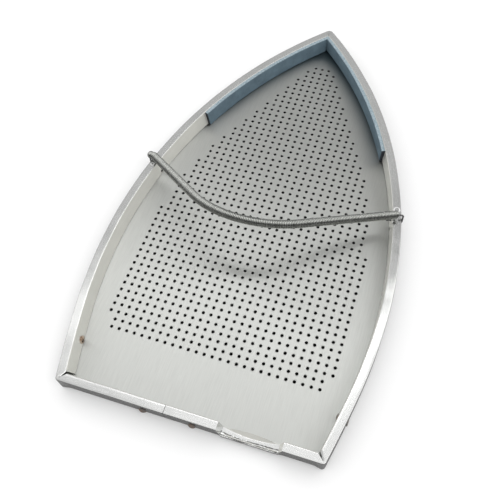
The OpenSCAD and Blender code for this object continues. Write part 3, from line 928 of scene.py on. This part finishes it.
def strip_material():
    """Slate-blue soft strip, paler on its top edge."""
    n = Nodes("strip_slate")
    grain = n.noise(n.coords((1500, 1500, 1500)), 1.0, 4.0)
    cloud = n.noise(n.coords((180, 180, 180)), 1.0, 3.0)
    z = n.split(n.add("ShaderNodeTexCoord").outputs["Object"])["Z"]
    top = n.ramp(z, (Z_TOP - 0.35) * MM, (Z_TOP - 0.05) * MM, 0.0, 1.0)
    face = n.mix(n.ramp(cloud, 0.3, 0.7, 0, 1), (0.085, 0.130, 0.165, 1), (0.120, 0.180, 0.220, 1))
    pale_top = n.mix(n.ramp(grain, 0.35, 0.65, 0, 1), (0.17, 0.235, 0.275, 1), (0.38, 0.46, 0.50, 1))
    place = n.add("ShaderNodeNewGeometry").outputs
    normal = n.split(place["Normal"])
    x = n.split(place["Position"])["X"]
    # The strips' ends that face the heel are painted near-black: painted shade.
    shaded_end = n.math("LESS_THAN", normal["Y"], -0.6)
    shaded_end = n.math("MULTIPLY", shaded_end, n.math("GREATER_THAN", n.math("MULTIPLY", normal["X"], x), 0.0))
    tone = n.mix(shaded_end, n.mix(top, face, pale_top), (0.03, 0.035, 0.045, 1))
    n.set(Base_Color=tone, Metallic=0.0, Roughness=0.75)
    n.set(Normal=n.bump(grain, 0.5, 0.00025))
    return n.mat


def spring_steel():
    """Bright plated wire, its tone and roughness varying at random."""
    n = Nodes("spring_wire")
    cloud = n.noise(n.coords((350, 350, 350)), 1.0, 3.0)
    n.set(Base_Color=n.mix(n.ramp(cloud, 0.3, 0.7, 0, 1), (0.47, 0.48, 0.455, 1), (0.58, 0.59, 0.565, 1)))
    n.set(Metallic=1.0, Roughness=n.ramp(cloud, 0.3, 0.7, 0.22, 0.30))
    return n.mat


def rusty_steel():
    """A steel rivet head under a thin skin of rust."""
    n = Nodes("rivet_rust")
    patch = n.noise(n.coords((900, 900, 900)), 1.0, 5.0, 0.65)
    grain = n.noise(n.coords((3500, 3500, 3500)), 1.0, 3.0)
    rust = n.mix(n.ramp(grain, 0.3, 0.7, 0, 1), (0.11, 0.065, 0.04, 1), (0.25, 0.17, 0.12, 1))
    n.set(Base_Color=n.mix(n.ramp(patch, 0.42, 0.6, 0, 1), (0.20, 0.185, 0.175, 1), rust))
    n.set(Metallic=n.ramp(patch, 0.42, 0.6, 0.6, 0.1), Roughness=n.ramp(patch, 0.3, 0.7, 0.45, 0.75))
    n.set(Normal=n.bump(n.math("ADD", patch, grain), 0.7, 0.0002))
    return n.mat


def pale_rust():
    """A rivet head hammered bright in places, with beige rust round it."""
    n = Nodes("rivet_pale_rust")
    patch = n.noise(n.coords((700, 700, 700)), 1.0, 4.0, 0.6)
    rust = (0.20, 0.11, 0.06, 1)
    worn = (0.52, 0.43, 0.34, 1)
    n.set(Base_Color=n.mix(n.ramp(patch, 0.40, 0.55, 0, 1), rust, worn), Metallic=0.25, Roughness=0.55)
    n.set(Normal=n.bump(patch, 0.6, 0.0002))
    return n.mat


def dull_head():
    """A rivet head of grey steel, dirty with a little rust."""
    n = Nodes("rivet_dull")
    patch = n.noise(n.coords((800, 800, 800)), 1.0, 4.0, 0.6)
    n.set(Base_Color=n.mix(n.ramp(patch, 0.45, 0.65, 0, 1), (0.34, 0.33, 0.31, 1), (0.22, 0.15, 0.10, 1)))
    n.set(Metallic=0.5, Roughness=0.5, Normal=n.bump(patch, 0.6, 0.0002))
    return n.mat


def hook_wire():
    """Dull dark steel wire."""
    n = Nodes("hook_wire")
    patch = n.noise(n.coords((1200, 1200, 1200)), 1.0, 4.0)
    n.set(Base_Color=n.mix(n.ramp(patch, 0.35, 0.65, 0, 1), grey(0.12), grey(0.28)), Metallic=0.9)
    n.set(Roughness=n.ramp(patch, 0.3, 0.7, 0.35, 0.55), Normal=n.bump(patch, 0.4, 0.0001))
    return n.mat


def sheet_material():
    """The hidden sole sheet: smooth dark plastic; its dark is also painted shade, seen through the holes."""
    n = Nodes("sheet_plastic")
    cloud = n.noise(n.coords((60, 60, 60)), 1.0, 3.0)
    grain = n.noise(n.coords((1800, 1800, 1800)), 1.0, 3.0)
    n.set(Base_Color=n.mix(n.ramp(cloud, 0.3, 0.7, 0, 1), (0.055, 0.050, 0.045, 1), (0.085, 0.080, 0.070, 1)))
    n.set(Metallic=0.0, Roughness=0.42, Normal=n.bump(grain, 0.15, 0.0001))
    return n.mat


def paint(obj, *materials):
    """Gives an own piece its materials and keeps which face has which."""
    slots = [poly.material_index for poly in obj.data.polygons]
    obj.data.materials.clear()
    for material in materials:
        obj.data.materials.append(material)
    obj.data.polygons.foreach_set("material_index", slots)


def paint_node(name, material, bevel=0.0):
    """Gives a CAD node a new material, and fine rounded edges by a modifier."""
    obj = frame["nodes"][name]
    for i in range(max(1, len(obj.data.materials))):
        if i < len(obj.data.materials):
            obj.data.materials[i] = material
        else:
            obj.data.materials.append(material)
    if bevel:
        mod = obj.modifiers.new("edges", "BEVEL")
        mod.width, mod.segments = bevel * MM, 2
        mod.limit_method, mod.angle_limit = "ANGLE", math.radians(40)
    return obj


def own_piece(obj, node, body="tray"):
    """Puts an own piece on its body, in the place of a CAD node."""
    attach(obj, body)
    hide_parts(node)


def dress_object():
    rim_mat, plate_mat, rust, wire = rim_metal(), plate_metal(), rusty_steel(), spring_steel()
    rim = build_rim()
    paint(rim, rim_mat)
    own_piece(rim, "rim_frame")
    for node, mirrored, seed in (("nose_strip_right", False, 40.0), ("nose_strip_left", True, 50.0)):
        strip = build_strip(node.replace("nose_strip", "soft_strip"), mirrored, seed)
        paint(strip, strip_material())
        own_piece(strip, node)
    spring = build_spring()
    paint(spring, wire)
    own_piece(spring, "retaining_spring", "spring")
    paint_node("sole_plate", plate_mat)
    lips = build_hole_lips()
    paint(lips, plate_mat, hole_shade())
    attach(lips, "tray")
    paint_node("sole_sheet", sheet_material())
    paint_node("joint_strap", rim_mat, 0.12)
    for node in ("heel_rivet_left", "heel_rivet_right"):
        paint_node(node, rust, 0.15)
    left = build_side_rivet("side_rivet_left_hammered", -1, WALL_LEAN_LEFT, LEFT_HEAD_D, LEFT_HEAD_H, 2.0)
    paint(left, pale_rust(), hole_shade())
    own_piece(left, "side_rivet_left")
    right = build_side_rivet("side_rivet_right_hammered", 1, WALL_LEAN_RIGHT, RIGHT_HEAD_D, RIGHT_HEAD_H, 4.0)
    paint(right, dull_head(), hole_shade())
    own_piece(right, "side_rivet_right")
    for name, sizes in BURRS.items():
        burr = build_burr(name, *sizes)
        paint(burr, torn_metal())
        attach(burr, "tray")
    for node in ("spring_hook_left", "spring_hook_right"):
        paint_node(node, hook_wire())


# Stage, light and camera

def build_floor():
    """A white floor that shows as a dim one in the metal, as the wide dark room round a white sheet does.
    Its hidden middle, under the part, is painted near-black shade, so that the holes show dark."""
    n = Nodes("floor_white")
    mirrored = n.add("ShaderNodeLightPath").outputs["Is Glossy Ray"]
    n.set(Base_Color=n.mix(mirrored, grey(FLOOR_WHITE), grey(FLOOR_IN_METAL)), Roughness=1.0)
    n.set(Specular_IOR_Level=0.0)
    under = Nodes("floor_under_part")
    under.set(Base_Color=grey(0.01), Roughness=1.0, Specular_IOR_Level=0.0)
    right = [SIDE.point(SIDE.at_y(y), UNDER_INSET) for y in np.linspace(Y_HEEL + UNDER_INSET, UNDER_Y, 24)]
    outline = right + [(-x, y) for x, y in reversed(right)]
    count = len(outline)
    inner = [(x * MM, y * MM, 0) for x, y in outline]
    outer = [(FLOOR_SIZE * math.copysign(1, x), FLOOR_SIZE * y / UNDER_Y, 0) for x, y in outline]
    around = [(i, count + i, count + (i + 1) % count, (i + 1) % count) for i in range(count)]
    mesh = bpy.data.meshes.new("floor")
    mesh.from_pydata(inner + outer, [], around + [tuple(reversed(range(count)))])
    mesh.materials.append(n.mat)
    mesh.materials.append(under.mat)
    mesh.polygons[-1].material_index = 1
    floor = bpy.data.objects.new("floor", mesh)
    bpy.context.scene.collection.objects.link(floor)


def build_world():
    """White to the camera and soft all round. The metal sees a bright panel overhead with a slanted edge,
    a dimmer ceiling towards the nose, and a dark room low down."""
    world = bpy.data.worlds.new("studio")
    bpy.context.scene.world = world
    world.use_nodes = True
    n = Tree(world.node_tree)
    n.tree.nodes.clear()
    smooth = "SMOOTHSTEP"
    x, y, z = n.split(n.add("ShaderNodeTexCoord").outputs["Generated"])
    across = n.math("SUBTRACT", y, n.math("MULTIPLY", x, PANEL_SLANT))
    ceiling = n.ramp(across, PANEL_EDGE[0], FAR_EDGE, *CEILING_GLOW)
    panel = n.ramp(across, *PANEL_EDGE, 0.0, 1.0, smooth)
    panel = n.math("MULTIPLY", panel, n.ramp(x, *PANEL_END, *PANEL_GLOW))
    from_tube = n.math("ABSOLUTE", n.math("SUBTRACT", across, TUBE_AT))
    from_middle = n.math("ABSOLUTE", n.math("SUBTRACT", x, TUBE_MIDDLE))
    tube = n.ramp(from_tube, *BAND_EDGE, 1.0, 0.0, smooth)
    tube = n.math("MULTIPLY", tube, n.ramp(from_middle, *TUBE_END, *TUBE_GLOW))
    from_gap = n.math("ABSOLUTE", n.math("SUBTRACT", across, GAP_AT))
    gap = n.ramp(from_gap, *BAND_EDGE, 1.0, 0.0, smooth)
    gap = n.math("MULTIPLY", gap, n.ramp(x, *GAP_END, 0.0, GAP_GLOW))
    side = n.ramp(x, *SIDE_EDGE, 0.0, SIDE_GLOW, smooth)
    behind = n.math("SUBTRACT", y, n.math("MULTIPLY", x, BEHIND_SLANT))
    dark = n.ramp(behind, *BEHIND_EDGE, 1.0, BEHIND_GLOW, smooth)
    high = n.math("MULTIPLY", n.ramp(z, *LOW_EDGE, LOW_GLOW, 1.0, smooth), dark)
    lit = n.math("ADD", n.math("ADD", ceiling, panel), n.math("ADD", n.math("ADD", tube, gap), side))
    glow = n.math("MULTIPLY", lit, high)

    def background(strength):
        return n.add("ShaderNodeBackground", {"Color": (1, 1, 1, 1), "Strength": strength}).outputs[0]

    ray = n.add("ShaderNodeLightPath").outputs
    by_gloss = {0: ray["Is Glossy Ray"], 1: background(SOFT_LIGHT), 2: background(glow)}
    lighting = n.add("ShaderNodeMixShader", by_gloss).outputs[0]
    by_camera = {0: ray["Is Camera Ray"], 1: lighting, 2: background(1.0)}
    n.add("ShaderNodeOutputWorld", {"Surface": n.add("ShaderNodeMixShader", by_camera).outputs[0]})


def area_light(name, place, aim, size, power):
    light = bpy.data.lights.new(name, "AREA")
    light.shape, light.size, light.energy = "DISK", size, power
    obj = bpy.data.objects.new(name, light)
    obj.location = place
    obj.rotation_euler = (Vector(aim) - Vector(place)).to_track_quat("-Z", "Y").to_euler()
    bpy.context.scene.collection.objects.link(obj)


def build_lights():
    area_light("key_light", (0.55, -0.25, 0.95), (0, -0.02, 0), 0.5, 1.2)
    area_light("fill_light", (-1.0, 0.35, 0.45), (0, 0, 0), 0.6, 0.8)


def build_camera():
    data = bpy.data.cameras.new("camera")
    data.lens, data.sensor_width = CAMERA_LENS, 36.0
    data.shift_x, data.shift_y = CAMERA_SHIFT
    data.clip_start, data.clip_end = 0.01, 20.0
    cam = bpy.data.objects.new("camera", data)
    turn = Matrix(CAMERA_AXES).transposed()
    cam.matrix_world = Matrix.Translation(Vector(CAMERA_AT) * MM) @ turn.to_4x4()
    bpy.context.scene.collection.objects.link(cam)
    bpy.context.scene.camera = cam


dress_object()
build_floor()
build_world()
build_lights()
build_camera()
bpy.context.scene.view_settings.view_transform = "Standard"
